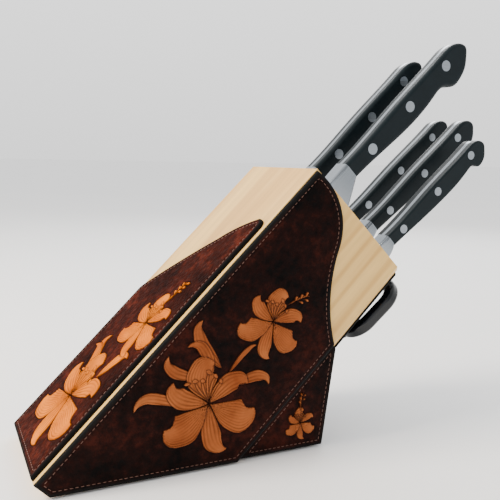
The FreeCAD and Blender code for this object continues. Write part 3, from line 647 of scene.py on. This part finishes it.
def steel_look(name, colour, rough, turn):
    """Brushed steel, its fine scratches turned about Y."""
    look = Look(name)
    brushed = look.noise(look.mapped((25, 1600, 1600), (0.0, turn, 0.0)), 1.0, 3, 0.6)
    dull = tuple(0.86 * c for c in colour)
    look.link(look.ramp(brushed, (0.3, dull), (0.7, colour)), "Base Color")
    look.link(look.ramp(brushed, (0.2, (rough * 0.8,) * 3), (0.8, (rough * 1.3,) * 3)),
              "Roughness")
    look.set(Metallic=1.0)
    look.bump(brushed, 0.08, 0.05 * MM)
    return look.material


def moulded_look(name, colour, rough, coat, shine):
    """Plastic or rubber, slightly uneven in colour and shine."""
    look = Look(name)
    cloud = look.noise(look.place, 90, 4)
    dull = tuple(0.8 * c for c in colour)
    look.link(look.ramp(cloud, (0.3, dull), (0.7, colour)), "Base Color")
    look.link(look.ramp(look.noise(look.place, 300, 3), (0.3, (rough * 0.85,) * 3),
                        (0.7, (rough * 1.2,) * 3)), "Roughness")
    look.set(Coat_Weight=coat, Coat_Roughness=0.12, Specular_IOR_Level=shine)
    look.bump(look.noise(look.place, 1500, 3), 0.12, 0.04 * MM)
    return look.material


def thread_look():
    """Brown thread with a fine twist."""
    look = Look("waxed_thread")
    wave = look.node("TexWave", {"Vector": look.place, "Scale": 900.0, "Distortion": 1.5})
    twist = wave.outputs["Fac"]
    colour = look.ramp(twist, (0.2, (0.070, 0.026, 0.016)), (0.8, (0.155, 0.068, 0.044)))
    look.link(colour, "Base Color")
    look.set(Roughness=0.6)
    look.bump(twist, 0.4, 0.08 * MM)
    return look.material


# ---------------------------------------------------------------- the object
def paint(node, material):
    """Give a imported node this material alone."""
    piece = frame["nodes"][node]
    piece.data.materials.clear()
    piece.data.materials.append(material)


def dress_nodes():
    """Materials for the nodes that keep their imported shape, by the record's material slot."""
    looks = {
        "board_wood": wood_look("pale_hardwood"),
        "pad_rubber": moulded_look("pad_sheet", (0.010, 0.010, 0.010), 0.8, 0.0, 0.1),
        "knife_steel": steel_look("satin_steel", (0.27, 0.295, 0.32), 0.20, GRAIN_LEAN),
        # Black plastic; its blue-grey tint is painted reflection of the sky.
        "handle_black": moulded_look("handle_slab", (0.0048, 0.0098, 0.0125), 0.34, 0.0, 0.16),
        "rivet_steel": steel_look("rivet_face", (0.34, 0.375, 0.41), 0.34, 0.0),
        "shears_steel": steel_look("shears_blade_steel", (0.24, 0.25, 0.27), 0.28, GRAIN_LEAN),
        "shears_plastic": moulded_look("shears_moulding", (0.003, 0.004, 0.006), 0.16, 0.12, 0.3),
    }
    looks["spacer_wood"] = looks["board_wood"]
    looks["foot_wood"] = looks["board_wood"]
    for entry in frame["record"]["subparts"]:
        if entry["material_slot"] in looks:
            paint(entry["node"], looks[entry["material_slot"]])


def make_leather():
    """A tooled or plain sheet and its stitches in place of every leather node."""
    side = leather_look("side_hide", (0.0012, 0.0005, 0.0004), (0.034, 0.0060, 0.0032),
                        (0.470, 0.142, 0.040), 0.05)
    slope = leather_look("slope_hide", (0.0100, 0.0022, 0.0013), (0.080, 0.0140, 0.0070),
                         (0.960, 0.275, 0.018), 0.01)
    thread = thread_look()
    foot_out = (math.cos(FOOT_LEAN), 0.0, -math.sin(FOOT_LEAN))
    near, far, across = (0, -1, 0), (0, 1, 0), (0, 1, 0)
    plan = (
        ("side_leather_near", near, ALONG, side, FINE),
        ("side_leather_far", far, ALONG, side, COARSE),
        ("foot_leather_near", near, ALONG, side, FINE),
        ("foot_leather_far", far, ALONG, side, COARSE),
        ("slope_leather", UPWARD, ALONG, slope, FINE),
        ("underside_leather", -UPWARD, ALONG, side, COARSE),
        ("foot_back_leather_upper", foot_out, across, side, COARSE),
        ("foot_back_leather_lower", foot_out, across, side, COARSE))
    for node, out, u, look, spacing in plan:
        panel = Panel(node, out, u)
        sheet = leather_panel(panel, spacing, ART.get(node, []))
        sheet.data.materials.append(look)
        thread_piece = stitches(panel)
        thread_piece.data.materials.append(thread)
        for piece in (sheet, thread_piece):
            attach(piece, "block")
        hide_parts(node)


# ---------------------------------------------------------------- studio
CAMERA_AZIMUTH = math.radians(25.29)
CAMERA_DROP = math.radians(7.58)
CAMERA_ROLL = math.radians(1.07)
CAMERA_PLACE = (-0.1333, -0.3947, 0.1812)
CAMERA_LENS = 48.1
FLOOR_HALF = 60.0          # half the floor's side
HORIZON_LEVEL = 1.42       # sky brightness at the floor's far edge, so that no line shows there
HORIZON_HIGH = 0.35        # the sky's own levels hold from this height on, as a direction's Z
# Sky brightness by a direction's Y: dim on the camera's side, bright behind the block.
SKY = {"From Min": -0.7, "From Max": 0.6, "To Min": 0.75, "To Max": 1.9}
AIM = (0.05, 0, 0.12)      # what every light points at
WARM = (1.0, 0.90, 0.78)
WHITE = (1.0, 1.0, 1.0)


def make_camera():
    """A camera at its place, turned by the azimuth, then tilted down, then rolled."""
    data = bpy.data.cameras.new("camera")
    data.lens = CAMERA_LENS
    data.sensor_width = 36.0
    camera = bpy.data.objects.new("camera", data)
    bpy.context.collection.objects.link(camera)
    forward = Vector((math.sin(CAMERA_AZIMUTH) * math.cos(CAMERA_DROP),
                      math.cos(CAMERA_AZIMUTH) * math.cos(CAMERA_DROP), -math.sin(CAMERA_DROP)))
    right = Vector((math.cos(CAMERA_AZIMUTH), -math.sin(CAMERA_AZIMUTH), 0))
    up = right.cross(forward)
    turned = right * math.cos(CAMERA_ROLL) + up * math.sin(CAMERA_ROLL)
    upright = up * math.cos(CAMERA_ROLL) - right * math.sin(CAMERA_ROLL)
    matrix = Matrix((turned, upright, -forward)).transposed().to_4x4()
    matrix.translation = Vector(CAMERA_PLACE)
    camera.matrix_world = matrix
    bpy.context.scene.camera = camera


def add_light(name, place, size, power, colour):
    """A round lamp aimed at the block, its size in metres and its power in watts."""
    data = bpy.data.lights.new(name, "AREA")
    data.shape = "DISK"
    data.size = size
    data.energy = power
    data.color = colour
    light = bpy.data.objects.new(name, data)
    bpy.context.collection.objects.link(light)
    light.location = place
    light.rotation_euler = (Vector(AIM) - Vector(place)).to_track_quat("-Z", "Y").to_euler()


def make_studio():
    """A pale floor, a sky that is brighter behind the block, and three lamps."""
    half = FLOOR_HALF
    corners = [(-half, -half, 0), (half, -half, 0), (half, half, 0), (-half, half, 0)]
    floor = mesh_object("floor", corners, [(0, 1, 2, 3)])
    look = Look("floor_paint")
    paleness = look.ramp(look.noise(look.place, 2, 2), (0.3, (0.95,) * 3), (0.7, (0.97,) * 3))
    look.link(paleness, "Base Color")
    look.set(Roughness=0.9)
    floor.data.materials.append(look.material)
    world = bpy.data.worlds.new("studio")
    bpy.context.scene.world = world
    world.use_nodes = True
    tree = world.node_tree
    place = tree.nodes.new("ShaderNodeTexCoord").outputs["Generated"]
    parts = tree.nodes.new("ShaderNodeSeparateXYZ")
    tree.links.new(place, parts.inputs[0])
    level = tree.nodes.new("ShaderNodeMapRange")
    tree.links.new(parts.outputs["Y"], level.inputs["Value"])
    for name, number in SKY.items():
        level.inputs[name].default_value = number
    height = tree.nodes.new("ShaderNodeMapRange")
    tree.links.new(parts.outputs["Z"], height.inputs["Value"])
    height.inputs["From Max"].default_value = HORIZON_HIGH
    blend = tree.nodes.new("ShaderNodeMix")
    blend.inputs["A"].default_value = HORIZON_LEVEL
    tree.links.new(height.outputs["Result"], blend.inputs["Factor"])
    tree.links.new(level.outputs["Result"], blend.inputs["B"])
    sky = tree.nodes["Background"]
    sky.inputs["Color"].default_value = WHITE + (1.0,)
    tree.links.new(blend.outputs["Result"], sky.inputs["Strength"])
    add_light("key", (-0.95, 0.10, 1.05), 0.6, 30, WARM)
    add_light("front", (-0.1, -1.4, 0.5), 0.9, 1.5, WHITE)
    add_light("back", (0.8, 0.9, 0.9), 0.8, 8, WHITE)


dress_nodes()
make_leather()
make_camera()
make_studio()
